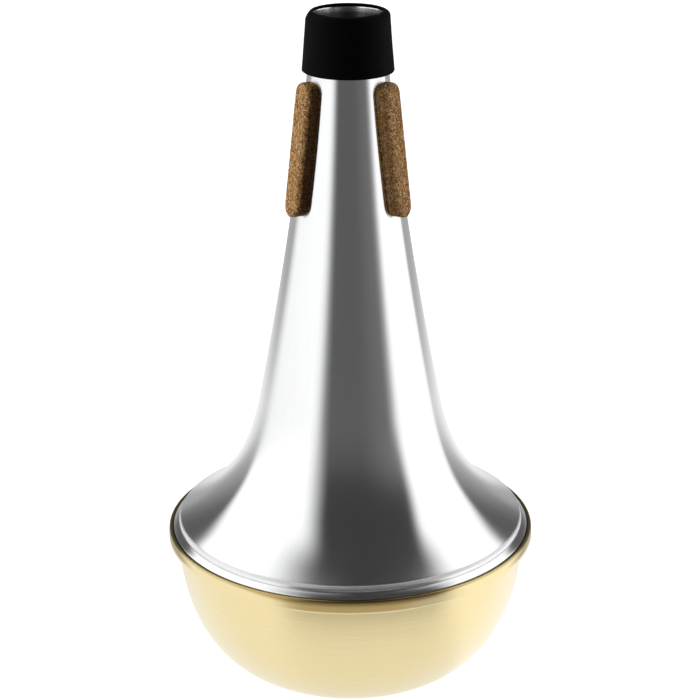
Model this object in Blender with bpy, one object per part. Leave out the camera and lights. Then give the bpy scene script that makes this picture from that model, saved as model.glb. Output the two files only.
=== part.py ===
"""Trombone straight mute: a spun aluminium body whose skirt drops into the rolled lip of a spun brass bottom,
with a rubber sleeve on the neck and three cork strips that seat it in the bell.

+Z runs up the mute's axis, and z = 0 is the flat that the mute stands on. Sizes are in millimetres.
"""

import math

import bmesh
import bpy

MM = 0.001  # metres in a millimetre
SEGMENTS = 60  # facets round each turned piece

# Body outline: a slim stem that opens into a wide flare, up from the ridge where the flare ends
RIDGE_HEIGHT = 59.3  # above the flat base
RIDGE_RADIUS = 63.25
BODY_LENGTH = 185.3  # ridge to mouth
MOUTH_RADIUS = 12.75
WAIST_RADIUS = 32.5
WAIST_HEIGHT = 47.4  # above the ridge
MOUTH_ANGLE = math.radians(3.0)  # between the outline and the axis
WAIST_ANGLE = math.radians(11.2)
RIDGE_ANGLE = math.radians(59.4)
STEM_FULLNESS = (46.5, 41.0)  # how far each end's direction carries into the stem
FLARE_FULLNESS = (22.3, 22.8)
BODY_WALL = 0.7

# Body edge: a rounded face under the ridge, then a sloped ledge and a skirt that drops into the brass lip
EDGE_FACE_WIDTH = 0.45
EDGE_FACE_DROP = 1.8
LEDGE_WIDTH = 2.0
LEDGE_DROP = 1.6

# Brass bottom: lip, wall, round and flat
LIP_BEAD_RADIUS = 0.725
LIP_TOP_DROP = 3.55  # from the ridge down to the top of the rolled bead
LIP_FACE_DROP = 7.7  # from the ridge down to the lip's lower corner
LIP_DEPTH = 3.6  # how far the lip stands out past the bowl's wall
LIP_UNDERSIDE_DROP = 2.3
BASE_FLAT_RADIUS = 28.0
BOWL_FULLNESS = (19.0, 27.1)  # down from the lip, out from the flat
BRASS_WALL = 0.7
SKIRT_CLEARANCE = 0.35  # between the skirt and the brass round it

# Neck sleeve
SLEEVE_LENGTH = 20.8
SLEEVE_PROUD = 1.1  # how far it stands past the mouth
SLEEVE_COVER = 0.65  # how far its top draws in over the mouth's rim
SLEEVE_WALL = 1.5
SLEEVE_HEM = 0.1  # how much thicker it is at its lower edge
SLEEVE_CLEARANCE = 0.3

# Cork strips
CORK_AZIMUTHS = {"cork_strip_left": 211.5, "cork_strip_right": 328.5, "cork_strip_rear": 90}
CORK_BELOW_SLEEVE = 2.7
CORK_LENGTH = 46.0
CORK_WIDTH = 9.8
CORK_THICKNESS = 3.6
CORK_CORNER_RADIUS = 3.8
CORK_EDGE_ROUND = 2.0
CORK_ROUND_SHARE = 0.9  # the most of a row's half width that the rounding takes
CORK_CLEARANCE = 0.3

# Points along each outline
STEM_POINTS = 11
FLARE_POINTS = 11
BOWL_POINTS = 14
ROUND_POINTS = 4
SLEEVE_ROUND_POINTS = 7
LIP_BEAD_POINTS = 9
SLEEVE_STEPS = 3  # straight lengths of the sleeve's bore
CORK_STEPS = 4  # lengths of a strip between its corners
CORK_HALF_STEPS = 3  # lengths of the hollow under half a strip

SMOOTH_ANGLE = math.radians(30)

MOUTH_HEIGHT = RIDGE_HEIGHT + BODY_LENGTH
SLEEVE_TOP = MOUTH_HEIGHT + SLEEVE_PROUD
SLEEVE_BOTTOM = SLEEVE_TOP - SLEEVE_LENGTH
CORK_TOP = SLEEVE_BOTTOM - CORK_BELOW_SLEEVE


def bezier(start, start_handle, end_handle, end, count):
    """count points of a cubic curve, both ends included."""
    points = []
    for step in range(count):
        t = step / (count - 1)
        weights = ((1 - t) ** 3, 3 * t * (1 - t) ** 2, 3 * t * t * (1 - t), t**3)
        controls = (start, start_handle, end_handle, end)
        points.append(tuple(sum(w * c[axis] for w, c in zip(weights, controls)) for axis in (0, 1)))
    return points


def arc(centre, radii, first, last, count):
    """count points of an elliptical arc between two angles in radians, both ends included."""
    angles = [first + (last - first) * step / (count - 1) for step in range(count)]
    return [(centre[0] + radii[0] * math.cos(a), centre[1] + radii[1] * math.sin(a)) for a in angles]


def along(point, angle, distance):
    """The point that far down and out, at that angle to the axis."""
    return (point[0] + distance * math.sin(angle), point[1] - distance * math.cos(angle))


def offset(points, distance):
    """The open outline moved sideways, to the left of its direction, with mitred corners."""
    lines = []
    for (r0, z0), (r1, z1) in zip(points, points[1:]):
        length = math.hypot(r1 - r0, z1 - z0)
        lines.append(((r1 - r0) / length, (z1 - z0) / length))
    moved = []
    for index, (r, z) in enumerate(points):
        before = lines[max(index - 1, 0)]
        after = lines[min(index, len(lines) - 1)]
        normal = (-(before[1] + after[1]), before[0] + after[0])
        scale = distance / (1 + before[0] * after[0] + before[1] * after[1])
        moved.append((r + normal[0] * scale, z + normal[1] * scale))
    return moved


def stem_outline(count):
    mouth = (MOUTH_RADIUS, MOUTH_HEIGHT)
    waist = (WAIST_RADIUS, RIDGE_HEIGHT + WAIST_HEIGHT)
    leaving = along(mouth, MOUTH_ANGLE, STEM_FULLNESS[0])
    arriving = along(waist, WAIST_ANGLE, -STEM_FULLNESS[1])
    return bezier(mouth, leaving, arriving, waist, count)


def flare_outline(count):
    waist = (WAIST_RADIUS, RIDGE_HEIGHT + WAIST_HEIGHT)
    ridge = (RIDGE_RADIUS, RIDGE_HEIGHT)
    leaving = along(waist, WAIST_ANGLE, FLARE_FULLNESS[0])
    arriving = along(ridge, RIDGE_ANGLE, -FLARE_FULLNESS[1])
    return bezier(waist, leaving, arriving, ridge, count)


def stem_radius(height):
    """The stem's outer radius at a height."""
    points = stem_outline(STEM_POINTS)
    for (r0, z0), (r1, z1) in zip(points, points[1:]):
        if z1 <= height <= z0:
            return r0 + (r1 - r0) * (z0 - height) / (z0 - z1)
    raise ValueError("the height is off the stem")


def skirt_radius():
    return RIDGE_RADIUS + EDGE_FACE_WIDTH + LEDGE_WIDTH


def lip_radius():
    """The brass lip's outer radius, which clears the skirt by the rolled bead."""
    return skirt_radius() + SKIRT_CLEARANCE + 2 * LIP_BEAD_RADIUS


def brass_outline():
    """The outer outline from the edge of the flat up to the lip's side."""
    lip = lip_radius()
    corner_height = RIDGE_HEIGHT - LIP_FACE_DROP
    wall_top = (lip - LIP_DEPTH, corner_height - LIP_UNDERSIDE_DROP)
    flat_edge = (BASE_FLAT_RADIUS, 0.0)
    leaving = (BASE_FLAT_RADIUS + BOWL_FULLNESS[1], 0.0)
    arriving = (wall_top[0], wall_top[1] - BOWL_FULLNESS[0])
    bowl = bezier(flat_edge, leaving, arriving, wall_top, BOWL_POINTS)
    return bowl + [(lip, corner_height)]


def floor_height(radius, inner):
    """The height of the lip channel's floor at a radius."""
    (r0, z0), (r1, z1) = inner[-3:-1]
    return z0 + (z1 - z0) * (radius - r0) / (r1 - r0)


def brass_inner_outline():
    """The inner outline from the edge of the flat up into the lip's channel."""
    bead_centre = RIDGE_HEIGHT - LIP_TOP_DROP - LIP_BEAD_RADIUS
    return offset([(0.0, 0.0)] + brass_outline() + [(lip_radius(), bead_centre)], BRASS_WALL)


def turned(name, outline, material, closed):
    """A solid turned from an outline of (radius, height) that runs down its outer side, or from the axis to it."""
    mesh = bpy.data.meshes.new(name)
    shape = bmesh.new()
    points = [shape.verts.new((r * MM, 0.0, z * MM)) for r, z in outline]
    ends = list(zip(points, points[1:]))
    if closed:
        ends.append((points[-1], points[0]))
    edges = [shape.edges.new(pair) for pair in ends]
    bmesh.ops.spin(
        shape,
        geom=points + edges,
        cent=(0, 0, 0),
        axis=(0, 0, 1),
        angle=math.tau,
        steps=SEGMENTS,
        use_merge=True,
    )
    bmesh.ops.remove_doubles(shape, verts=shape.verts, dist=1e-6)
    bmesh.ops.recalc_face_normals(shape, faces=shape.faces)
    shape.to_mesh(mesh)
    shape.free()
    return placed(name, mesh, material)


def placed(name, mesh, material):
    mesh.shade_smooth()
    mesh.set_sharp_from_angle(angle=SMOOTH_ANGLE)
    mesh.materials.append(material)
    piece = bpy.data.objects.new(name, mesh)
    bpy.context.scene.collection.objects.link(piece)
    return piece


def surface(name, colour, roughness, metallic):
    material = bpy.data.materials.new(name)
    material.use_nodes = True
    shader = material.node_tree.nodes["Principled BSDF"]
    shader.inputs["Base Color"].default_value = (*colour, 1.0)
    shader.inputs["Roughness"].default_value = roughness
    shader.inputs["Metallic"].default_value = metallic
    return material


def make_body():
    face_turn = 2 * math.atan(EDGE_FACE_WIDTH / EDGE_FACE_DROP)
    face_radius = EDGE_FACE_DROP / math.sin(face_turn)
    face_centre = (RIDGE_RADIUS + EDGE_FACE_WIDTH - face_radius, RIDGE_HEIGHT - EDGE_FACE_DROP)
    face = arc(face_centre, (face_radius, face_radius), face_turn, 0.0, ROUND_POINTS)
    skirt_bottom = floor_height(skirt_radius(), brass_inner_outline()) + SKIRT_CLEARANCE
    skirt = [(skirt_radius(), face_centre[1] - LEDGE_DROP), (skirt_radius(), skirt_bottom)]
    shell = stem_outline(STEM_POINTS) + flare_outline(FLARE_POINTS)[1:]
    outer = shell + face[1:] + skirt
    inner = offset(shell + face[-1:] + skirt, -BODY_WALL)
    aluminium = surface("spun_aluminium", (0.82, 0.83, 0.85), 0.22, 1.0)
    turned("aluminium_body", outer + inner[::-1], aluminium, closed=True)


def make_bottom():
    outer = brass_outline()
    inner = brass_inner_outline()
    bead_centre = (lip_radius() - LIP_BEAD_RADIUS, RIDGE_HEIGHT - LIP_TOP_DROP - LIP_BEAD_RADIUS)
    tuck = -math.acos((LIP_BEAD_RADIUS - BRASS_WALL) / LIP_BEAD_RADIUS)
    radii = (LIP_BEAD_RADIUS, LIP_BEAD_RADIUS)
    bead = arc(bead_centre, radii, 0.0, math.tau + tuck, LIP_BEAD_POINTS)
    brass = surface("spun_brass", (0.85, 0.68, 0.36), 0.28, 1.0)
    inside = inner[1:-1][::-1] + [(0.0, BRASS_WALL)]
    turned("brass_bottom", [(0.0, 0.0)] + outer + bead + inside, brass, closed=False)


def make_sleeve():
    gripped = MOUTH_HEIGHT - SLEEVE_BOTTOM
    heights = [SLEEVE_BOTTOM + gripped * step / SLEEVE_STEPS for step in range(SLEEVE_STEPS + 1)]
    bore = [(stem_radius(z) + SLEEVE_CLEARANCE, z) for z in heights]
    step_height = MOUTH_HEIGHT + SLEEVE_CLEARANCE
    lip_bore = MOUTH_RADIUS - SLEEVE_COVER
    bore += [(bore[-1][0], step_height), (lip_bore, step_height)]
    hem_radius = bore[0][0] + SLEEVE_WALL + SLEEVE_HEM
    middle = (bore[1][0] + SLEEVE_WALL, heights[1])
    top_radius = MOUTH_RADIUS + SLEEVE_CLEARANCE + SLEEVE_WALL
    rounding = top_radius - lip_bore
    top = arc((lip_bore, SLEEVE_TOP - rounding), (rounding, rounding), math.pi / 2, 0.0, SLEEVE_ROUND_POINTS)
    outer = top + [middle, (hem_radius, SLEEVE_BOTTOM + SLEEVE_WALL / 2), (hem_radius - SLEEVE_HEM, SLEEVE_BOTTOM)]
    rubber = surface("black_rubber", (0.012, 0.012, 0.013), 0.6, 0.0)
    turned("neck_sleeve", outer + bore, rubber, closed=True)


def cork_rows():
    """(height, half width) of each row of a strip, closer together round its corners."""
    bottom = CORK_TOP - CORK_LENGTH
    radius = CORK_CORNER_RADIUS
    angles = [math.pi / 2 * step / ROUND_POINTS for step in range(ROUND_POINTS + 1)]
    corner = [(radius * (1 - math.cos(a)), CORK_WIDTH / 2 - radius * (1 - math.sin(a))) for a in angles]
    step = (CORK_LENGTH - 2 * radius) / CORK_STEPS
    straight = [(radius + step * index, CORK_WIDTH / 2) for index in range(1, CORK_STEPS)]
    rows = corner + straight + [(CORK_LENGTH - z, half) for z, half in corner[::-1]]
    return [(bottom + z, half) for z, half in rows]


def cork_section(height, half, face):
    """One row's ring of (across, out) points: the inner side hugs the neck, and the outer side is flat."""
    neck = stem_radius(height) + CORK_CLEARANCE
    inner = [half * step / CORK_HALF_STEPS for step in range(-CORK_HALF_STEPS, CORK_HALF_STEPS + 1)]
    ring = [(across, math.sqrt(neck**2 - across**2)) for across in inner]
    edge = min(CORK_EDGE_ROUND, CORK_ROUND_SHARE * half)
    right = arc((half - edge, face - edge), (edge, edge), 0.0, math.pi / 2, ROUND_POINTS)
    left = arc((edge - half, face - edge), (edge, edge), math.pi / 2, math.pi, ROUND_POINTS)
    return ring + right + left


def make_cork(name, azimuth, cork):
    rows = cork_rows()
    lowest, highest = rows[0][0], rows[-1][0]
    reach = [stem_radius(z) + CORK_CLEARANCE + CORK_THICKNESS for z in (lowest, highest)]
    turn = math.radians(azimuth)
    out = (math.cos(turn), math.sin(turn))
    side = (-math.sin(turn), math.cos(turn))
    shape = bmesh.new()
    rings = []
    for height, half in rows:
        face = reach[0] + (reach[1] - reach[0]) * (height - lowest) / (highest - lowest)
        section = cork_section(height, half, face)
        points = [(d * out[0] + a * side[0], d * out[1] + a * side[1], height) for a, d in section]
        rings.append([shape.verts.new([value * MM for value in point]) for point in points])
    for below, above in zip(rings, rings[1:]):
        for index in range(len(below)):
            after = (index + 1) % len(below)
            shape.faces.new((below[index], below[after], above[after], above[index]))
    shape.faces.new(rings[0][::-1])
    shape.faces.new(rings[-1])
    bmesh.ops.recalc_face_normals(shape, faces=shape.faces)
    mesh = bpy.data.meshes.new(name)
    shape.to_mesh(mesh)
    shape.free()
    placed(name, mesh, cork)


def main():
    for old in list(bpy.data.objects):
        bpy.data.objects.remove(old, do_unlink=True)
    make_body()
    make_bottom()
    make_sleeve()
    cork = surface("cork", (0.42, 0.26, 0.13), 0.85, 0.0)
    for name, azimuth in CORK_AZIMUTHS.items():
        make_cork(name, azimuth, cork)


main()
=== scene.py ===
"""The looks of the trombone straight mute: fine turned metal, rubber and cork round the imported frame.

Lengths are in metres and +Z is up the mute's axis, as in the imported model. The pieces' sizes below are named
in millimetres, and MM turns them into metres.
"""

import math

import bpy
import numpy as np
from mathutils import Matrix, Vector, noise


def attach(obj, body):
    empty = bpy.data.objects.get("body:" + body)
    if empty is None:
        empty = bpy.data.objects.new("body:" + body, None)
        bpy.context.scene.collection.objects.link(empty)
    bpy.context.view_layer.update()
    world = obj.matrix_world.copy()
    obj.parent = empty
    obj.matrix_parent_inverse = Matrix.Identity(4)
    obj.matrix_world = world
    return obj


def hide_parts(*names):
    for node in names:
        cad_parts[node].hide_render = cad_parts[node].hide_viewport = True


MM = 0.001

# Camera
LENS = 97.71  # in millimetres, like the sensor's width
SENSOR = 36.0
CAMERA_PLACE = (0.0002, -0.645, 0.35955)  # in metres
CAMERA_TURN = 1.5  # degrees round the mute from its front
CAMERA_PITCH = 20.18  # degrees down from level
CAMERA_ROLL = -0.27  # degrees
CAMERA_NEAR = 0.01  # the nearest that it sees, in metres

# Body outline, down from the mouth
RIDGE_HEIGHT = 59.3
RIDGE_RADIUS = 63.25
MOUTH_HEIGHT = 244.6
MOUTH_RADIUS = 12.75
WAIST_RADIUS = 32.5
WAIST_HEIGHT = 106.7
MOUTH_ANGLE = math.radians(3.0)
WAIST_ANGLE = math.radians(11.2)
RIDGE_ANGLE = math.radians(59.4)
STEM_FULLNESS = (46.5, 41.0)
FLARE_FULLNESS = (22.3, 22.8)
BODY_WALL = 0.7

# Body edge
RIDGE_ROUND = 0.18
EDGE_FACE_WIDTH = 0.45
EDGE_FACE_DROP = 1.8
EDGE_GROOVE = 0.12  # the radius of the fine groove at the foot of the edge's face
EDGE_GROOVE_ANGLES = (math.radians(55), math.radians(270))  # where its round starts and ends
LEDGE_WIDTH = 2.0
LEDGE_DROP = 1.6
SKIRT_DROP = 7.65
SKIRT_ROUND = 0.3

# Brass bottom
LIP_RADIUS = 67.5
LIP_BEAD_RADIUS = 0.725
LIP_LEAN = 0.15  # how far the lip's face leans in from its lower corner up to the rolled bead
LIP_TOP_DROP = 3.55
LIP_FACE_DROP = 7.7
LIP_DEPTH = 3.6
LIP_UNDERSIDE_DROP = 2.3
LIP_CORNER_ROUND = 0.06
LIP_TURN = math.radians(8)  # the face's lean where it meets the bead
LIP_ROOT_ROUND = 0.2
BASE_FLAT_RADIUS = 28.0
BOWL_FULLNESS = (19.0, 27.1)
BRASS_WALL = 0.7

# Neck sleeve
SLEEVE_TOP = 245.7
SLEEVE_LENGTH = 20.8
SLEEVE_DIP = 0.55  # how much lower its top is on the camera's side
SLEEVE_WALL = 1.5
SLEEVE_HEM = 0.1
SLEEVE_COVER = 0.65  # how far its top draws in over the mouth's rim
SLEEVE_EDGE_ROUND = 0.3
SLEEVE_CLEARANCE = 0.3
SLEEVE_UNEVEN = 0.06
SLEEVE_SWELLS = ((9.0, 0.6), (2.5, 0.4))  # each size of unevenness and its share
SLEEVE_SWELL_INWARD = 0.6  # the share that the whole surface moves in, so that little of it stands proud
SLEEVE_SWELL_START = 0.4  # how far outside the bore it starts
SLEEVE_SAG = 0.35  # how much lower its hem hangs at the front right
SLEEVE_SAG_HEIGHT = 4.0  # how far up from the hem that reaches
SLEEVE_SAG_SIDE = (0.34, -0.94)  # the way from the axis to where it hangs lowest
SLEEVE_SLUMP = 1.2  # how much lower its left shoulder is
SLEEVE_SLUMP_DEPTHS = (10.0, 2.0)  # how far below the top the slump starts and is full
SLEEVE_SLUMP_SIDE = (0.5, 0.9)  # how far left it starts and is full, where 1 is straight left

# Cork strips
CORK_AZIMUTHS = {"cork_strip_left": 211.5, "cork_strip_right": 328.5, "cork_strip_rear": 90}
CORK_TOP = 222.2
CORK_LENGTH = 46.0
CORK_WIDTH = 9.8
CORK_THICKNESS = 3.6
CORK_CORNER_RADIUS = 3.8
CORK_EDGE_ROUND = 2.0
CORK_ROUND_SHARE = 0.9  # the most of a row's half width that the rounding takes
CORK_CLEARANCE = 0.3
CORK_GRAIN = 0.9  # across one granule
CORK_PIT_DEPTH = 0.16
CORK_SEAM_WIDTH = 0.22  # of a granule
CORK_SEAM_DEPTH = 0.35  # as shares of the pits' depth, like the next two
CORK_TILT_DEPTH = 0.3
CORK_PORE_DEPTH = 1.8
CORK_TILT_RATE = 0.9  # how fast the granules' tilt changes, per granule
CORK_PORE_RATE = 2.3
CORK_PORE_START = 0.25  # the noise above which there is a pore
CORK_SMOOTH_FOOT = 1.2  # how far out from the strip's inner side its pits are full

# Numbers of facets and points
AXIS_SEGMENTS = 300  # facets round each turned piece
SHELL_POINTS = 64  # along the stem, and along the flare
STEM_CURVE_POINTS = 200  # of the curve that a height's radius is read from
FLAT_RINGS = 6


def share(value, start, full):
    """How far the value is on its way from start to full, between 0 and 1."""
    return min(1.0, max(0.0, (value - start) / (full - start)))


def heights_from(level, distances):
    """The heights in metres that lie those distances above a level, all given in millimetres."""
    return [(level + distance) * MM for distance in distances]


def bezier(start, start_handle, end_handle, end, count):
    """count points of a cubic curve, both ends included."""
    controls = np.array((start, start_handle, end_handle, end))
    t = np.linspace(0.0, 1.0, count)[:, None]
    weights = np.hstack(((1 - t) ** 3, 3 * t * (1 - t) ** 2, 3 * t * t * (1 - t), t**3))
    return [tuple(point) for point in weights @ controls]


def arc(centre, radii, first, last, count):
    """count points of an elliptical arc between two angles in radians, both ends included."""
    return [
        (centre[0] + radii[0] * math.cos(angle), centre[1] + radii[1] * math.sin(angle))
        for angle in np.linspace(first, last, count)
    ]


def along(point, angle, distance):
    """The point that far down and out, at that angle to the axis."""
    return (point[0] + distance * math.sin(angle), point[1] - distance * math.cos(angle))


def rounded(before, corner, after, radius, count):
    """Points that replace a corner by an arc of that radius, tangent to both its lines."""
    corner = np.array(corner)
    toward = np.array(before) - corner
    onward = np.array(after) - corner
    toward /= np.linalg.norm(toward)
    onward /= np.linalg.norm(onward)
    half = math.acos(np.clip(toward @ onward, -1.0, 1.0)) / 2
    reach = radius / math.tan(half)
    middle = toward + onward
    centre = corner + middle / np.linalg.norm(middle) * radius / math.sin(half)
    first = corner + toward * reach - centre
    last = corner + onward * reach - centre
    points = []
    for t in np.linspace(0.0, 1.0, count):
        direction = first * (1 - t) + last * t
        points.append(tuple(centre + direction / np.linalg.norm(direction) * radius))
    return points


def offset(points, distance):
    """The outline moved sideways, to the left of its direction."""
    points = np.array(points)
    steps = np.diff(points, axis=0)
    steps /= np.linalg.norm(steps, axis=1)[:, None]
    before = np.vstack((steps[:1], steps))
    after = np.vstack((steps, steps[-1:]))
    normal = np.stack((-(before[:, 1] + after[:, 1]), before[:, 0] + after[:, 0]), axis=1)
    scale = distance / (1 + (before * after).sum(axis=1))
    return [tuple(point) for point in points + normal * scale[:, None]]


def mesh_object(name, vertices, faces):
    mesh = bpy.data.meshes.new(name)
    mesh.from_pydata(vertices, [], faces)
    mesh.validate()
    mesh.shade_smooth()
    piece = bpy.data.objects.new(name, mesh)
    bpy.context.scene.collection.objects.link(piece)
    return piece


def ring_grid(rings, open_ends):
    """Vertices and quads that join rings of points, the last ring to the first unless the ends are open."""
    count = len(rings[0])
    vertices = [tuple(point) for ring in rings for point in ring]
    faces = []
    pairs = list(zip(range(len(rings) - 1), range(1, len(rings))))
    if not open_ends:
        pairs.append((len(rings) - 1, 0))
    for near, far in pairs:
        for index in range(count):
            after = (index + 1) % count
            corners = ((near, index), (far, index), (far, after), (near, after))
            faces.append(tuple(ring * count + place for ring, place in corners))
    return vertices, faces


def turned(name, outline, on_axis):
    """A closed skin turned from an outline of (radius, height) in millimetres.

    The outline runs down the outer side and back up the inner side. Where on_axis is true, it starts and ends
    on the axis instead.
    """
    angles = np.arange(AXIS_SEGMENTS) / AXIS_SEGMENTS * math.tau
    ends = outline[1:-1] if on_axis else outline
    rings = [[(r * math.cos(a) * MM, r * math.sin(a) * MM, z * MM) for a in angles] for r, z in ends]
    vertices, faces = ring_grid(rings, open_ends=on_axis)
    if on_axis:
        last = (len(rings) - 1) * AXIS_SEGMENTS
        first_pole = len(vertices)
        last_pole = first_pole + 1
        vertices.append((0.0, 0.0, outline[0][1] * MM))
        vertices.append((0.0, 0.0, outline[-1][1] * MM))
        for index in range(AXIS_SEGMENTS):
            after = (index + 1) % AXIS_SEGMENTS
            faces.append((first_pole, index, after))
            faces.append((last_pole, last + after, last + index))
    return mesh_object(name, vertices, faces)


def stem_outline(count):
    mouth = (MOUTH_RADIUS, MOUTH_HEIGHT)
    waist = (WAIST_RADIUS, WAIST_HEIGHT)
    leaving = along(mouth, MOUTH_ANGLE, STEM_FULLNESS[0])
    arriving = along(waist, WAIST_ANGLE, -STEM_FULLNESS[1])
    return bezier(mouth, leaving, arriving, waist, count)


def flare_outline(count):
    waist = (WAIST_RADIUS, WAIST_HEIGHT)
    ridge = (RIDGE_RADIUS, RIDGE_HEIGHT)
    leaving = along(waist, WAIST_ANGLE, FLARE_FULLNESS[0])
    arriving = along(ridge, RIDGE_ANGLE, -FLARE_FULLNESS[1])
    return bezier(waist, leaving, arriving, ridge, count)


STEM_CURVE = stem_outline(STEM_CURVE_POINTS)


def stem_radius(height):
    radii, heights = zip(*reversed(STEM_CURVE))
    return float(np.interp(height, heights, radii))


def body_outline():
    flare = flare_outline(SHELL_POINTS)
    shell = stem_outline(SHELL_POINTS) + flare[1:-1]
    face_turn = 2 * math.atan(EDGE_FACE_WIDTH / EDGE_FACE_DROP)
    face_radius = EDGE_FACE_DROP / math.sin(face_turn)
    face_foot = (RIDGE_RADIUS + EDGE_FACE_WIDTH, RIDGE_HEIGHT - EDGE_FACE_DROP)
    face_centre = (face_foot[0] - face_radius, face_foot[1])
    face = arc(face_centre, (face_radius, face_radius), face_turn, 0.0, count=24)
    crease = rounded(flare[-2], flare[-1], face[2], RIDGE_ROUND, count=7)
    groove_centre = (face_foot[0] - EDGE_GROOVE / 3, face_foot[1])
    groove = arc(groove_centre, (EDGE_GROOVE, EDGE_GROOVE), *EDGE_GROOVE_ANGLES, count=12)
    skirt = face_foot[0] + LEDGE_WIDTH
    skirt_top = (skirt, face_foot[1] - LEDGE_DROP)
    skirt_bottom = (skirt, RIDGE_HEIGHT - SKIRT_DROP)
    shoulder = rounded(groove[-1], skirt_top, skirt_bottom, SKIRT_ROUND, count=8)
    upper_face = [point for point in face[3:] if point[1] > groove[0][1] + EDGE_GROOVE / 4]
    outer = shell + crease + upper_face + groove + shoulder + [skirt_bottom]
    inner = offset(shell[1:] + [flare[-1], face_foot, skirt_top, skirt_bottom], -BODY_WALL)
    rim_round = BODY_WALL / 2
    rim_centre = (MOUTH_RADIUS - rim_round, MOUTH_HEIGHT - rim_round)
    rim = arc(rim_centre, (rim_round, rim_round), math.pi, 0.0, count=9)
    return rim[:-1] + outer[1:] + inner[::-1]


def brass_outline():
    face_bottom = (LIP_RADIUS, RIDGE_HEIGHT - LIP_FACE_DROP)
    wall_top = (LIP_RADIUS - LIP_DEPTH, face_bottom[1] - LIP_UNDERSIDE_DROP)
    flat_edge = (BASE_FLAT_RADIUS, 0.0)
    leaving = (BASE_FLAT_RADIUS + BOWL_FULLNESS[1], 0.0)
    arriving = (wall_top[0], wall_top[1] - BOWL_FULLNESS[0])
    bowl = bezier(flat_edge, leaving, arriving, wall_top, count=110)
    bead_side = LIP_RADIUS - LIP_LEAN
    bead_centre = (bead_side - LIP_BEAD_RADIUS, RIDGE_HEIGHT - LIP_TOP_DROP - LIP_BEAD_RADIUS)
    tuck = -math.acos((LIP_BEAD_RADIUS - BRASS_WALL) / LIP_BEAD_RADIUS)
    bead = arc(bead_centre, (LIP_BEAD_RADIUS, LIP_BEAD_RADIUS), LIP_TURN, math.tau + tuck, count=36)
    face_length = bead[0][1] - face_bottom[1]
    face_start = along(face_bottom, LIP_TURN / 3, -face_length / 3)
    face_end = along(bead[0], LIP_TURN, face_length / 3)
    face = bezier(face_bottom, face_start, face_end, bead[0], count=12)
    root = rounded(bowl[-2], wall_top, face_bottom, LIP_ROOT_ROUND, count=8)
    corner = rounded(wall_top, face_bottom, face[2], LIP_CORNER_ROUND, count=7)
    inner = offset([(0.0, 0.0)] + bowl + [face_bottom, (bead_side, bead_centre[1])], BRASS_WALL)
    keep = [point for point in bowl if point[1] < root[0][1]]
    flat = [(BASE_FLAT_RADIUS * ring / FLAT_RINGS, 0.0) for ring in range(FLAT_RINGS)]
    return flat + keep + root + corner + face[2:-1] + bead + inner[1:-1][::-1] + [(0.0, BRASS_WALL)]


def make_body():
    shell = turned("body_shell", body_outline(), on_axis=False)
    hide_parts("aluminium_body")
    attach(shell, "root")
    shell.data.materials.append(spun_metal("spun_aluminium", ALUMINIUM))
    shell.data.materials.append(spun_metal("worn_aluminium", WORN_ALUMINIUM))
    for face in shell.data.polygons:
        above_ridge = face.center.z / MM - RIDGE_HEIGHT
        face.material_index = int(WORN_BOTTOM[0] < above_ridge < WORN_TOP[0])


def make_bottom():
    bowl = turned("brass_bowl", brass_outline(), on_axis=True)
    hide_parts("brass_bottom")
    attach(bowl, "root")
    bowl.data.materials.append(spun_metal("spun_brass", BRASS))


def sleeve_outline():
    bottom = SLEEVE_TOP - SLEEVE_LENGTH
    heights = np.linspace(bottom, MOUTH_HEIGHT, num=12)
    bore = [(stem_radius(z) + SLEEVE_CLEARANCE, float(z)) for z in heights]
    step = MOUTH_HEIGHT + SLEEVE_CLEARANCE
    lip_bore = MOUTH_RADIUS - SLEEVE_COVER
    side_top = SLEEVE_TOP - (MOUTH_RADIUS + SLEEVE_CLEARANCE + SLEEVE_WALL - lip_bore)
    side = []
    for height in np.linspace(side_top, bottom, num=32):
        down = (side_top - height) / (side_top - bottom)
        side.append((stem_radius(height) + SLEEVE_CLEARANCE + SLEEVE_WALL + SLEEVE_HEM * down, float(height)))
    edge = SLEEVE_EDGE_ROUND
    top_radii = (side[0][0] - lip_bore - edge, SLEEVE_TOP - side_top)
    top = arc((lip_bore + edge, side_top), top_radii, math.pi / 2, 0.0, count=18)
    hem = rounded(side[-2], side[-1], bore[0], edge, count=8)
    lip = arc((lip_bore + edge, SLEEVE_TOP - edge), (edge, edge), math.pi, math.pi / 2, count=7)
    upper_side = [point for point in side[1:] if point[1] > hem[0][1]]
    return top + upper_side + hem + bore + [(bore[-1][0], step), (lip_bore, step)] + lip[:-1]


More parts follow.
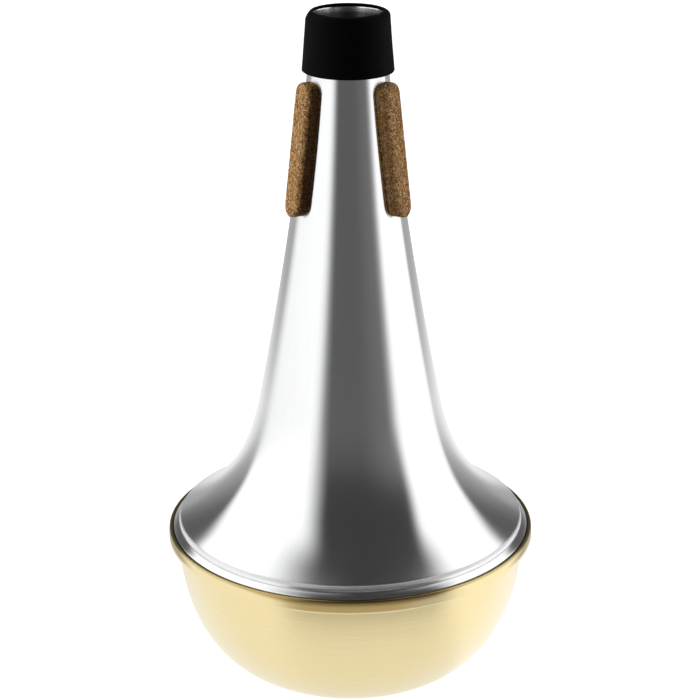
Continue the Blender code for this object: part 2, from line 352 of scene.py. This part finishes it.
def shape_rubber(vertex):
    """Moves a vertex of the turned sleeve: uneven sides, dipped top, slumped shoulder and sagging hem."""
    step = MOUTH_HEIGHT + SLEEVE_CLEARANCE
    bottom = SLEEVE_TOP - SLEEVE_LENGTH
    out = Vector((vertex.co.x, vertex.co.y, 0.0))
    radius = out.length / MM
    out.normalize()
    if radius > MOUTH_RADIUS + SLEEVE_CLEARANCE + SLEEVE_SWELL_START:
        swells = (noise.noise(vertex.co / (size * MM)) * part for size, part in SLEEVE_SWELLS)
        vertex.co += out * (sum(swells) - SLEEVE_SWELL_INWARD) * SLEEVE_UNEVEN * MM
    near_top = share(vertex.co.z / MM, step, SLEEVE_TOP)
    near_hem = share(vertex.co.z / MM, bottom + SLEEVE_SAG_HEIGHT, bottom)
    vertex.co.z -= SLEEVE_DIP * MM * near_top * (0.5 - out.y / 2)
    start, full = (SLEEVE_TOP - depth for depth in SLEEVE_SLUMP_DEPTHS)
    shoulder = share(vertex.co.z / MM, start, full) * share(radius, MOUTH_RADIUS, MOUTH_RADIUS + SLEEVE_WALL)
    vertex.co.z -= SLEEVE_SLUMP * MM * shoulder * share(-out.x, *SLEEVE_SLUMP_SIDE)
    toward_sag = SLEEVE_SAG_SIDE[0] * out.x + SLEEVE_SAG_SIDE[1] * out.y
    vertex.co.z -= SLEEVE_SAG * MM * near_hem * max(0.0, toward_sag)


def make_sleeve():
    sleeve = turned("rubber_sleeve", sleeve_outline(), on_axis=False)
    for vertex in sleeve.data.vertices:
        shape_rubber(vertex)
    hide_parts("neck_sleeve")
    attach(sleeve, "root")
    sleeve.data.materials.append(rubber())


def cork_rows():
    """(height, half width) of each row of a strip."""
    bottom = CORK_TOP - CORK_LENGTH
    radius = CORK_CORNER_RADIUS
    angles = np.linspace(0.0, math.pi / 2, num=22)
    corner = [(radius * (1 - math.cos(a)), CORK_WIDTH / 2 - radius * (1 - math.sin(a))) for a in angles]
    middle = np.linspace(radius, CORK_LENGTH - radius, num=193)[1:-1]
    straight = [(float(z), CORK_WIDTH / 2) for z in middle]
    rows = corner + straight + [(CORK_LENGTH - z, half) for z, half in corner[::-1]]
    return [(bottom + z, half) for z, half in rows]


def cork_section(height, half, face):
    """One row's ring of (across, out) points: the inner side hugs the neck, and the outer side is flat."""
    neck = stem_radius(height) + CORK_CLEARANCE
    edge = min(CORK_EDGE_ROUND, CORK_ROUND_SHARE * half)
    inner = np.linspace(-half, half, num=21)
    ring = [(float(across), math.sqrt(neck**2 - across**2)) for across in inner]
    foot = ring[-1][1]
    side = np.linspace(foot, face - edge, num=13)[1:-1]
    outer = np.linspace(half - edge, edge - half, num=41)[1:-1]
    ring += [(half, float(out)) for out in side]
    ring += arc((half - edge, face - edge), (edge, edge), 0.0, math.pi / 2, count=9)
    ring += [(float(across), face) for across in outer]
    ring += arc((edge - half, face - edge), (edge, edge), math.pi / 2, math.pi, count=9)
    ring += [(-half, float(out)) for out in side[::-1]]
    return ring


def cork_relief(point, seed):
    """How deep the cut granules leave the surface at a point, in millimetres."""
    place = Vector(point) / CORK_GRAIN + Vector((seed, 0.0, 0.0))
    distances, _ = noise.voronoi(place)
    seam = max(0.0, 1.0 - (distances[1] - distances[0]) / CORK_SEAM_WIDTH)
    tilt = 0.5 + 0.5 * noise.noise(place * CORK_TILT_RATE)
    pores = max(0.0, noise.noise(place * CORK_PORE_RATE) - CORK_PORE_START)
    return CORK_PIT_DEPTH * (CORK_SEAM_DEPTH * seam + CORK_TILT_DEPTH * tilt + CORK_PORE_DEPTH * pores)


def make_cork(name, azimuth, material):
    rows = cork_rows()
    lowest, highest = rows[0][0], rows[-1][0]
    reach = [stem_radius(z) + CORK_CLEARANCE + CORK_THICKNESS for z in (lowest, highest)]
    turn = math.radians(azimuth)
    out = np.array((math.cos(turn), math.sin(turn)))
    side = np.array((-math.sin(turn), math.cos(turn)))
    rings = []
    for height, half in rows:
        face = reach[0] + (reach[1] - reach[0]) * (height - lowest) / (highest - lowest)
        section = cork_section(height, half, face)
        foot = stem_radius(height) + CORK_CLEARANCE
        ring = []
        for across, distance in section:
            depth = cork_relief((across, distance, height), azimuth)
            inward = depth * share(math.hypot(across, distance), foot, foot + CORK_SMOOTH_FOOT)
            toward_middle = -math.copysign(min(inward * abs(across) / CORK_WIDTH, abs(across)), across)
            x, y = ((distance - inward) * out + (across + toward_middle) * side) * MM
            ring.append((x, y, height * MM))
        rings.append(ring)
    vertices, faces = ring_grid(rings, open_ends=True)
    count = len(rings[0])
    faces.append(tuple(range(count)))
    faces.append(tuple(range(len(vertices) - 1, len(vertices) - 1 - count, -1)))
    strip = mesh_object(name.replace("strip", "bar"), vertices, faces)
    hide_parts(name)
    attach(strip, "root")
    strip.data.materials.append(material)


class Nodes:
    """Short ways to add shader nodes to one tree."""

    def __init__(self, tree):
        self.tree = tree

    def add(self, kind, **settings):
        node = self.tree.nodes.new(kind)
        for key, value in settings.items():
            setattr(node, key, value)
        return node

    def feed(self, socket, value):
        if isinstance(value, bpy.types.NodeSocket):
            self.tree.links.new(value, socket)
        else:
            socket.default_value = value

    def made(self, node, values):
        for socket, value in zip(node.inputs, values):
            self.feed(socket, value)
        return node.outputs

    def math(self, operation, *values):
        return self.made(self.add("ShaderNodeMath", operation=operation), values)[0]

    def vector(self, operation, *values):
        return self.made(self.add("ShaderNodeVectorMath", operation=operation), values)[0]

    def length(self, vector):
        return self.made(self.add("ShaderNodeVectorMath", operation="LENGTH"), (vector,))["Value"]

    def dot(self, first, second):
        return self.made(self.add("ShaderNodeVectorMath", operation="DOT_PRODUCT"), (first, second))["Value"]

    def combine(self, x, y, z):
        return self.made(self.add("ShaderNodeCombineXYZ"), (x, y, z))[0]

    def separate(self, vector):
        return self.made(self.add("ShaderNodeSeparateXYZ"), (vector,))

    def ramp(self, value, low, high, to_low=0.0, to_high=1.0):
        """The value eased from to_low at low to to_high at high."""
        node = self.add("ShaderNodeMapRange", interpolation_type="SMOOTHSTEP")
        return self.made(node, (value, low, high, to_low, to_high))[0]

    def product(self, *values):
        result = values[0]
        for value in values[1:]:
            result = self.math("MULTIPLY", result, value)
        return result

    def total(self, *values):
        result = values[0]
        for value in values[1:]:
            result = self.math("ADD", result, value)
        return result

    def past(self, value, level):
        """How far the value is past the level, and 0 where it is short of it."""
        return self.math("MAXIMUM", self.math("SUBTRACT", value, level), 0.0)

    def between(self, factor, first, second):
        """The number that lies that far from the first to the second."""
        return self._mixed(self.add("ShaderNodeMix"), factor, first, second, (0, 2, 3), 0)

    def mix_colour(self, factor, first, second):
        node = self.add("ShaderNodeMix", data_type="RGBA")
        return self._mixed(node, factor, first, second, (0, 6, 7), 2)

    def _mixed(self, node, factor, first, second, places, output):
        for place, value in zip(places, (factor, first, second)):
            self.feed(node.inputs[place], value)
        return node.outputs[output]

    def mix_shader(self, factor, first, second):
        return self.made(self.add("ShaderNodeMixShader"), (factor, first, second))[0]

    def noise(self, vector, scale, detail=2.0, roughness=0.5, output="Fac"):
        node = self.add("ShaderNodeTexNoise")
        self.feed(node.inputs["Vector"], vector)
        node.inputs["Scale"].default_value = scale
        node.inputs["Detail"].default_value = detail
        node.inputs["Roughness"].default_value = roughness
        return node.outputs[output]

    def cells(self, vector, scale, feature="F1"):
        node = self.add("ShaderNodeTexVoronoi", feature=feature)
        self.feed(node.inputs["Vector"], vector)
        node.inputs["Scale"].default_value = scale
        return node.outputs

    def bump(self, height, strength, distance):
        node = self.add("ShaderNodeBump")
        node.inputs["Strength"].default_value = strength
        node.inputs["Distance"].default_value = distance
        self.feed(node.inputs["Height"], height)
        return node.outputs[0]


# The brass lip's painted shade and painted reflection, as tints one over the other: the colour, how far above
# the bead's top it starts and is full, and the Layer Weight Facing values at which it starts and is full
LIP_PAINTED_SHADE_TINTS = (
    ((0.80, 0.585, 0.25, 1.0), (-4.3, -3.9), (0.19, 0.125)),
    ((0.62, 0.52, 0.25, 1.0), (-0.9, -0.3), None),
    ((0.50, 0.36, 0.13, 1.0), (-2.3, -0.6), (0.26, 0.135)),
    ((0.33, 0.25, 0.09, 1.0), (-3.4, -2.4), (0.52, 0.72)),
)
ALUMINIUM = {
    "colour": (0.88, 0.885, 0.89, 1.0),
    "shade": (0.855, 0.86, 0.868, 1.0),
    "grazing": (0.88, 0.885, 0.89, 1.0),
    "painted_shade_tints": (),
    # the inner side's painted shade, darker deep inside and lighter near the mouth
    "inside": (0.46, 0.46, 0.465, 1.0),
    "inside_top": (0.92, 0.92, 0.93, 1.0),
    "roughness": (0.17, 0.182),
    "worn": False,
    "anisotropic": 0.97,
    "line_bump": 0.01,
}
WORN_ALUMINIUM = ALUMINIUM | {"worn": True, "anisotropic": 0.1}
BRASS = {
    "colour": (0.88, 0.742, 0.42, 1.0),
    "shade": (0.872, 0.732, 0.41, 1.0),
    "grazing": (0.90, 0.83, 0.64, 1.0),
    # painted shade and painted reflection on the lip
    "painted_shade_tints": LIP_PAINTED_SHADE_TINTS,
    # painted shade on the inner side
    "inside": (0.35, 0.25, 0.11, 1.0),
    "inside_top": (0.35, 0.25, 0.11, 1.0),
    "roughness": (0.27, 0.30),
    "worn": False,
    "anisotropic": 0.93,
    "line_bump": 0.004,
}
WORN_TOP = (0.35, 0.05)  # how far above the ridge the worn edge starts and is full
WORN_BOTTOM = (-1.2, -0.4)
WORN_ROUGHNESS = 0.38
INSIDE_ROUGHNESS = 0.05
INSIDE_START = (0.0, -0.02)  # how far outward a face points where the inner side's painted shade starts and is full
INSIDE_TOP = (-2.6, -1.0)  # how far above the mouth the lighter inner colour, with less painted shade, starts and is full
RING_WANDER = 0.0004  # how far the rings' pattern moves as it goes round, in metres
RING_SHARE = 0.4  # of the metal's tone that comes from the rings, the rest from the streaks
STREAK_RATE = 1.5  # how fast the streaks change along the axis
TONE_RANGE = (0.3, 0.7)  # the noise values between which tone and sheen change
GRAZING = (0.35, 0.95, 0.0, 0.85)  # Facing values and shares of the grazing colour
LEAST_RADIUS = 1e-5  # in metres, so that nothing divides by 0 on the axis
ALONG_AXIS = 0.25  # the turn that stretches highlights along the axis, across the rings


def new_material(name):
    material = bpy.data.materials.new(name)
    material.use_nodes = True
    return material, Nodes(material.node_tree), material.node_tree.nodes["Principled BSDF"]


def lip_painted_shade(nodes, colour, painted_shade_tints, z, facing):
    """The colour with each of the lip's painted shade and painted reflection tints over it, by height and by
    how far the surface turns away.
    """
    for painted_shade_tint, distances, turns in painted_shade_tints:
        amount = nodes.ramp(z, *heights_from(RIDGE_HEIGHT - LIP_TOP_DROP, distances))
        if turns:
            amount = nodes.product(amount, nodes.ramp(facing, *turns))
        colour = nodes.mix_colour(amount, colour, painted_shade_tint)
    return colour


def worn_edge(nodes, z):
    """1 on the body's worn edge, fading to 0 above and below it."""
    from_top = nodes.ramp(z, *heights_from(RIDGE_HEIGHT, WORN_TOP))
    from_bottom = nodes.ramp(z, *heights_from(RIDGE_HEIGHT, WORN_BOTTOM))
    return nodes.product(from_top, from_bottom)


def spun_metal(name, look):
    """Sheet metal spun on a lathe: fine rings round the axis, and faint streaks across them."""
    material, nodes, shader = new_material(name)
    place = nodes.add("ShaderNodeTexCoord").outputs["Object"]
    x, y, z = nodes.separate(place)
    radius = nodes.math("MAXIMUM", nodes.length(nodes.combine(x, y, 0.0)), LEAST_RADIUS)
    out_x = nodes.math("DIVIDE", x, radius)
    out_y = nodes.math("DIVIDE", y, radius)
    wandered = nodes.math("MULTIPLY_ADD", out_x, RING_WANDER, radius)
    ring_place = nodes.combine(z, wandered, nodes.product(out_y, RING_WANDER))
    rings = nodes.noise(ring_place, scale=3200.0, detail=3.0, roughness=0.6)
    streak_place = nodes.combine(out_x, out_y, nodes.product(z, STREAK_RATE))
    streaks = nodes.noise(streak_place, scale=38.0, detail=3.0, roughness=0.55)
    tone = nodes.total(nodes.product(rings, RING_SHARE), nodes.product(streaks, 1 - RING_SHARE))
    colour = nodes.mix_colour(nodes.ramp(tone, *TONE_RANGE), look["shade"], look["colour"])
    facing = nodes.add("ShaderNodeLayerWeight").outputs["Facing"]
    colour = nodes.mix_colour(nodes.ramp(facing, *GRAZING), colour, look["grazing"])
    # Painted shade and painted reflection on the brass lip, over the metal's colour
    colour = lip_painted_shade(nodes, colour, look["painted_shade_tints"], z, facing)
    normal = nodes.add("ShaderNodeNewGeometry").outputs["True Normal"]
    outward = nodes.dot(normal, nodes.combine(out_x, out_y, 0.0))
    # The inner side gets painted shade, darker deeper in than near the mouth
    inside = nodes.ramp(outward, *INSIDE_START)
    near_mouth = nodes.ramp(z, *heights_from(MOUTH_HEIGHT, INSIDE_TOP))
    painted_inside_shade = nodes.mix_colour(near_mouth, look["inside"], look["inside_top"])
    nodes.feed(shader.inputs["Base Color"], nodes.mix_colour(inside, colour, painted_inside_shade))
    sheen = nodes.ramp(rings, *TONE_RANGE, *look["roughness"])
    roughness = nodes.total(sheen, nodes.product(inside, INSIDE_ROUGHNESS))
    if look["worn"]:
        roughness = nodes.total(roughness, nodes.product(worn_edge(nodes, z), WORN_ROUGHNESS))
    nodes.feed(shader.inputs["Roughness"], roughness)
    shader.inputs["Metallic"].default_value = 1.0
    shader.inputs["Anisotropic"].default_value = look["anisotropic"]
    shader.inputs["Anisotropic Rotation"].default_value = ALONG_AXIS
    tangent = nodes.add("ShaderNodeTangent", direction_type="RADIAL", axis="Z")
    nodes.feed(shader.inputs["Tangent"], tangent.outputs[0])
    nodes.feed(shader.inputs["Normal"], nodes.bump(rings, look["line_bump"], distance=0.00005))
    return material


RUBBER_BLACK = (0.0022, 0.0019, 0.0017, 1.0)
RUBBER_DUSTY = (0.0055, 0.0048, 0.0042, 1.0)
RUBBER_ROUGHNESS = (0.6, 0.72)
DUST_START = (0.45, 0.8)  # the noise values at which a dusty patch starts and is full


def rubber():
    """Matt black rubber with faint dusty patches and a fine grain."""
    material, nodes, shader = new_material("black_rubber")
    place = nodes.add("ShaderNodeTexCoord").outputs["Object"]
    patches = nodes.noise(place, scale=140.0, detail=4.0)
    grain = nodes.noise(place, scale=4000.0)
    dust = nodes.ramp(patches, *DUST_START)
    nodes.feed(shader.inputs["Base Color"], nodes.mix_colour(dust, RUBBER_BLACK, RUBBER_DUSTY))
    nodes.feed(shader.inputs["Roughness"], nodes.ramp(patches, *TONE_RANGE, *RUBBER_ROUGHNESS))
    shader.inputs["Specular IOR Level"].default_value = 0.05
    nodes.feed(shader.inputs["Normal"], nodes.bump(grain, strength=0.25, distance=0.0001))
    return material


DARK_GRAIN = (0.48, 0.21, 0.065, 1.0)
PALE_GRAIN = (1.0, 0.56, 0.22, 1.0)
# Pale flecks: partly the cork's own light grain, partly painted glints
PALE_FLECK_AND_GLINT = (1.0, 0.84, 0.52, 1.0)
DARK_FLECK = (0.12, 0.045, 0.012, 1.0)
GRAIN_SEAM = (0.17, 0.08, 0.032, 1.0)
# painted shade for the strip's sides, darkest on the sides that face one fixed way
PAINTED_SIDE_SHADE = (0.055, 0.020, 0.005, 1.0)
PALE_FLECK_AND_GLINT_START = (0.555, 0.60)  # the noise values at which a fleck starts and is full; the pale flecks are partly painted glints
DARK_FLECK_START = (0.43, 0.37)
SEAM_EDGE = (0.0, 0.09)  # in granules, from the seam's middle to its edge
SIDE_SHADE_START = (0.97, 0.3)  # how far a face points outward where the painted side shade starts and is full
DARKEST_SHADE_SIDE = (0.5, -0.866, 0.0)  # the way that the sides with the darkest painted shade face
SIDE_SHADE_DEPTHS = (0.4, 1.0, 0.4, 0.88)  # how nearly a face points that way, and the share of the painted side shade
CORK_ROUGHNESS = (0.2, 0.8, 0.95, 0.75)  # noise values and the roughness at each
GRAIN_WANDER = 0.0007  # how far noise moves the granules' borders, in metres


def cork():
    """Pressed cork granules: light and dark grains with open pores and pale flecks that are partly painted
    glints, with painted shade on the strip's sides, darkest on those that face one way.
    """
    material, nodes, shader = new_material("cork")
    place = nodes.add("ShaderNodeTexCoord").outputs["Object"]
    wander = nodes.noise(place, scale=900.0, output="Color")
    shift = nodes.vector("SUBTRACT", wander, (0.5, 0.5, 0.5))
    moved = nodes.vector("MULTIPLY_ADD", shift, (GRAIN_WANDER,) * 3, place)
    per_metre = 1 / (CORK_GRAIN * MM)
    grain = nodes.separate(nodes.cells(moved, per_metre)["Color"])[0]
    from_seam = nodes.cells(moved, per_metre, feature="DISTANCE_TO_EDGE")["Distance"]
    flecks = nodes.noise(place, scale=1350.0, detail=3.0, roughness=0.7)
    colour = nodes.mix_colour(grain, DARK_GRAIN, PALE_GRAIN)
    # Pale flecks, partly painted glints
    colour = nodes.mix_colour(nodes.ramp(flecks, *PALE_FLECK_AND_GLINT_START), colour, PALE_FLECK_AND_GLINT)
    colour = nodes.mix_colour(nodes.ramp(flecks, *DARK_FLECK_START), colour, DARK_FLECK)
    colour = nodes.mix_colour(nodes.ramp(from_seam, *SEAM_EDGE), GRAIN_SEAM, colour)
    x, y, _ = nodes.separate(place)
    radius = nodes.length(nodes.combine(x, y, 0.0))
    outward = nodes.combine(nodes.math("DIVIDE", x, radius), nodes.math("DIVIDE", y, radius), 0.0)
    normal = nodes.add("ShaderNodeNewGeometry").outputs["True Normal"]
    # Painted shade on the strip's sides, darkest on those that face one fixed way
    side = nodes.ramp(nodes.dot(normal, outward), *SIDE_SHADE_START)
    depth = nodes.ramp(nodes.dot(normal, DARKEST_SHADE_SIDE), *SIDE_SHADE_DEPTHS)
    colour = nodes.mix_colour(nodes.product(side, depth), colour, PAINTED_SIDE_SHADE)
    nodes.feed(shader.inputs["Base Color"], colour)
    nodes.feed(shader.inputs["Roughness"], nodes.ramp(flecks, *CORK_ROUGHNESS))
    shader.inputs["Specular IOR Level"].default_value = 0.08
    nodes.feed(shader.inputs["Normal"], nodes.bump(flecks, strength=0.5, distance=0.00015))
    return material


# Studio: two white side walls, with the front, the rear and the top open and dark. Directions are in degrees
# round from the camera's side, positive to the right, and degrees up from level. A wall's top edge has a
# height at one place, falls off before that place, and past it rises, by no more than the most.
WALL_LIGHT = 1.22
LEFT_EDGE = (-22.5, -51.5)  # where its front edge fades in
LEFT_LEAN = 0.22  # how far that edge moves back with height
LEFT_LEAN_START = 30.0
LEFT_TOP = {"height": 65.0, "place": 80.0, "fall": 0.0, "rise": 0.2, "most": 7.0, "soft": 12.0}
RIGHT_EDGE = (52.0, 67.0)
RIGHT_LEAN = 0.25
RIGHT_LEAN_START = 0.0
RIGHT_TOP = {"height": 54.0, "place": 82.0, "fall": 0.7, "rise": 0.2, "most": 12.0, "soft": 8.0}
FRONT_DARK = 0.05
FRONT_HORIZON = 0.065  # how much lighter its band at the horizon is
HORIZON_BOTTOM = (-10.0, 0.0)
HORIZON_TOP = (20.0, 8.0)
FRONT_RIGHT = 0.09  # how much lighter the front grows low down towards the right wall
FRONT_RIGHT_START = (8.0, 52.0)
FRONT_RIGHT_TOP = (32.0, 10.0)
REAR_DARK = 0.105
REAR_LOW = 0.36  # towards the horizon
REAR_LOW_START = (20.0, -4.0)
REAR_START = 122.5  # where the rear starts on either side at the horizon
REAR_SOFT = 4.5  # how far to each side of that it fades in
REAR_LEAN = 0.38  # how far the rear's edge moves back with height
REAR_LEAN_START = 8.0
REAR_TOP = 33.0  # how high it reaches there
REAR_TOP_SOFT = 3.0
REAR_MIDDLE = 0.42  # low down and straight behind
REAR_MIDDLE_START = (150.0, 158.0)
REAR_MIDDLE_TOP = (14.0, 6.0)
REAR_RISE = 35.0  # how much higher the dark reaches straight behind
BACKDROP_LIGHT = 1.0  # what the camera sees


def below_top(nodes, aside, elevation, top):
    """1 below a wall's top edge and 0 above it."""
    rising = nodes.product(nodes.past(aside, top["place"]), top["rise"])
    rising = nodes.math("MINIMUM", rising, top["most"])
    falling = nodes.product(nodes.past(top["place"], aside), top["fall"])
    edge = nodes.math("SUBTRACT", rising, falling)
    level = nodes.math("SUBTRACT", elevation, edge)
    return nodes.ramp(level, top["height"] + top["soft"], top["height"] - top["soft"])


def walls(nodes, azimuth, elevation):
    """1 where one of the white side walls stands."""
    aside = nodes.math("ABSOLUTE", azimuth)
    left_lean = nodes.product(nodes.past(elevation, LEFT_LEAN_START), LEFT_LEAN)
    left_place = nodes.total(azimuth, left_lean)
    left = nodes.product(nodes.ramp(left_place, *LEFT_EDGE), below_top(nodes, aside, elevation, LEFT_TOP))
    right_lean = nodes.product(nodes.past(elevation, RIGHT_LEAN_START), RIGHT_LEAN)
    right_place = nodes.math("SUBTRACT", azimuth, right_lean)
    right = nodes.product(nodes.ramp(right_place, *RIGHT_EDGE), below_top(nodes, aside, elevation, RIGHT_TOP))
    return nodes.math("MAXIMUM", left, right)


def front_light(nodes, azimuth, elevation):
    """The light of the dark front."""
    band = nodes.product(nodes.ramp(elevation, *HORIZON_BOTTOM), nodes.ramp(elevation, *HORIZON_TOP))
    low = nodes.ramp(elevation, *FRONT_RIGHT_TOP)
    low_right = nodes.product(nodes.ramp(azimuth, *FRONT_RIGHT_START), low)
    return nodes.total(FRONT_DARK, nodes.product(band, FRONT_HORIZON), nodes.product(low_right, FRONT_RIGHT))


def dark_rear(nodes, azimuth, elevation):
    """1 where the dark rear lies, and its light."""
    aside = nodes.math("ABSOLUTE", azimuth)
    behind = nodes.ramp(aside, *REAR_MIDDLE_START)
    lean = nodes.product(nodes.past(elevation, REAR_LEAN_START), REAR_LEAN)
    place = nodes.math("SUBTRACT", aside, lean)
    height = nodes.math("SUBTRACT", elevation, nodes.product(behind, REAR_RISE))
    past_start = nodes.ramp(place, REAR_START - REAR_SOFT, REAR_START + REAR_SOFT)
    under_top = nodes.ramp(height, REAR_TOP + REAR_TOP_SOFT, REAR_TOP - REAR_TOP_SOFT)
    low_middle = nodes.product(behind, nodes.ramp(elevation, *REAR_MIDDLE_TOP))
    shade = nodes.ramp(elevation, *REAR_LOW_START, to_low=REAR_DARK, to_high=REAR_LOW)
    return nodes.product(past_start, under_top), nodes.between(low_middle, shade, REAR_MIDDLE)


def studio_light(nodes, azimuth, elevation):
    """The light that the studio sends from a direction."""
    front = front_light(nodes, azimuth, elevation)
    lit = nodes.between(walls(nodes, azimuth, elevation), front, WALL_LIGHT)
    in_rear, rear_light = dark_rear(nodes, azimuth, elevation)
    return nodes.between(in_rear, lit, rear_light)


def camera_azimuth(nodes, x, y):
    """Degrees round the mute's axis from the camera's side."""
    azimuth = nodes.math("DEGREES", nodes.math("ARCTAN2", x, nodes.product(y, -1.0)))
    return nodes.math("SUBTRACT", azimuth, CAMERA_TURN)


def direction_angles(nodes, vector):
    x, y, z = nodes.separate(vector)
    elevation = nodes.math("DEGREES", nodes.math("ARCSINE", z))
    return camera_azimuth(nodes, x, y), elevation


def background(nodes, strength):
    node = nodes.add("ShaderNodeBackground")
    node.inputs["Color"].default_value = (1.0, 1.0, 1.0, 1.0)
    nodes.feed(node.inputs["Strength"], strength)
    return node.outputs[0]


def make_world():
    world = bpy.data.worlds.new("studio")
    bpy.context.scene.world = world
    world.use_nodes = True
    nodes = Nodes(world.node_tree)
    world.node_tree.nodes.clear()
    azimuth, elevation = direction_angles(nodes, nodes.add("ShaderNodeTexCoord").outputs["Generated"])
    studio = background(nodes, studio_light(nodes, azimuth, elevation))
    seen = nodes.add("ShaderNodeLightPath").outputs["Is Camera Ray"]
    output = nodes.add("ShaderNodeOutputWorld")
    backdrop = background(nodes, BACKDROP_LIGHT)
    nodes.feed(output.inputs["Surface"], nodes.mix_shader(seen, studio, backdrop))


# Floor: directions as in the studio, distances from the axis in metres
FLOOR_RADIUS = 3.0
FLOOR_SIDES = 64
FLOOR_SHADE = 0.8  # its colour
FLOOR_GLOW = 0.80  # what it adds for the camera, so that it shows white
FLOOR_FRONT_SHADE = 0.08  # its colour in front, where it lights the mute less
FLOOR_SHINE = 1.04  # what the metal sees of it
FLOOR_DARK = 0.13  # what it sees beyond the lit part in front
FLOOR_LIT = (0.148, 0.205)  # where the lit part fades out in front
FRONT_LEFT = (-46.0, -26.0)  # where the front starts on the left
FRONT_END = (66.0, 40.0)  # and ends on the right
FLOOR_RIGHT = 0.14  # how much more the metal sees of it on the right
RIGHT_START = (48.0, 66.0)  # where that part starts and ends
RIGHT_END = (135.0, 110.0)
FLOOR_BEHIND = 0.4  # what the metal sees of it behind, beyond the lit part there
FLOOR_REAR = (0.25, 0.8)  # where the lit part fades out behind
REAR_LEFT = (-104.0, -132.0)  # where the rear part starts on either side
REAR_RIGHT = (REAR_START - 3.0, REAR_START + 3.0)


def emission(nodes, strength):
    node = nodes.add("ShaderNodeEmission")
    nodes.feed(node.inputs["Strength"], strength)
    return node.outputs[0]


def matt(nodes, shade):
    node = nodes.add("ShaderNodeBsdfDiffuse")
    nodes.feed(node.inputs["Color"], nodes.combine(shade, shade, shade))
    return node.outputs[0]


def make_floor():
    bpy.ops.mesh.primitive_circle_add(vertices=FLOOR_SIDES, radius=FLOOR_RADIUS, fill_type="NGON")
    floor = bpy.context.object
    floor.name = "floor"
    material = bpy.data.materials.new("pale_floor")
    material.use_nodes = True
    nodes = Nodes(material.node_tree)
    material.node_tree.nodes.clear()
    place = nodes.add("ShaderNodeTexCoord").outputs["Object"]
    x, y, _ = nodes.separate(place)
    azimuth = camera_azimuth(nodes, x, y)
    distance = nodes.length(place)
    in_front = nodes.product(nodes.ramp(azimuth, *FRONT_LEFT), nodes.ramp(azimuth, *FRONT_END))
    front = nodes.product(in_front, nodes.ramp(distance, *FLOOR_LIT))
    behind = nodes.math("MAXIMUM", nodes.ramp(azimuth, *REAR_LEFT), nodes.ramp(azimuth, *REAR_RIGHT))
    rear = nodes.product(behind, nodes.ramp(distance, *FLOOR_REAR))
    on_right = nodes.product(nodes.ramp(azimuth, *RIGHT_START), nodes.ramp(azimuth, *RIGHT_END))
    lit = nodes.ramp(front, 0.0, 1.0, to_low=FLOOR_SHINE, to_high=FLOOR_DARK)
    lit = nodes.total(lit, nodes.product(on_right, FLOOR_RIGHT))
    shine = emission(nodes, nodes.between(rear, lit, FLOOR_BEHIND))
    shown = nodes.add("ShaderNodeAddShader")
    nodes.feed(shown.inputs[0], emission(nodes, FLOOR_GLOW))
    nodes.feed(shown.inputs[1], matt(nodes, FLOOR_SHADE))
    dim = matt(nodes, nodes.ramp(front, 0.0, 1.0, to_low=FLOOR_SHADE, to_high=FLOOR_FRONT_SHADE))
    path = nodes.add("ShaderNodeLightPath").outputs
    seen = nodes.mix_shader(path["Is Camera Ray"], dim, shown.outputs[0])
    output = nodes.add("ShaderNodeOutputMaterial")
    nodes.feed(output.inputs["Surface"], nodes.mix_shader(path["Is Glossy Ray"], seen, shine))
    floor.data.materials.append(material)


def make_camera():
    camera = bpy.data.cameras.new("camera")
    camera.lens = LENS
    camera.sensor_width = SENSOR
    camera.clip_start = CAMERA_NEAR
    holder = bpy.data.objects.new("camera", camera)
    bpy.context.scene.collection.objects.link(holder)
    pitch = Matrix.Rotation(math.radians(90.0 - CAMERA_PITCH), 4, "X")
    roll = Matrix.Rotation(math.radians(CAMERA_ROLL), 4, "Z")
    turn = Matrix.Rotation(math.radians(CAMERA_TURN), 4, "Z")
    holder.matrix_world = turn @ Matrix.Translation(CAMERA_PLACE) @ pitch @ roll
    bpy.context.scene.camera = holder


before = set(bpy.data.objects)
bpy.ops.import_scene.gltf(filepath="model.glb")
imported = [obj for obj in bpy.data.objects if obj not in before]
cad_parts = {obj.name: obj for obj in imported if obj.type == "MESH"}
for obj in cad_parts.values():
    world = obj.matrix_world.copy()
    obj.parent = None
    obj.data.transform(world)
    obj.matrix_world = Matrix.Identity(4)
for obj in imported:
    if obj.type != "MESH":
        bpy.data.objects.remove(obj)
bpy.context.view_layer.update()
make_body()
make_bottom()
make_sleeve()
cork_material = cork()
for strip_name, strip_azimuth in CORK_AZIMUTHS.items():
    make_cork(strip_name, strip_azimuth, cork_material)
make_world()
make_floor()
make_camera()
bpy.context.scene.view_settings.view_transform = "Standard"
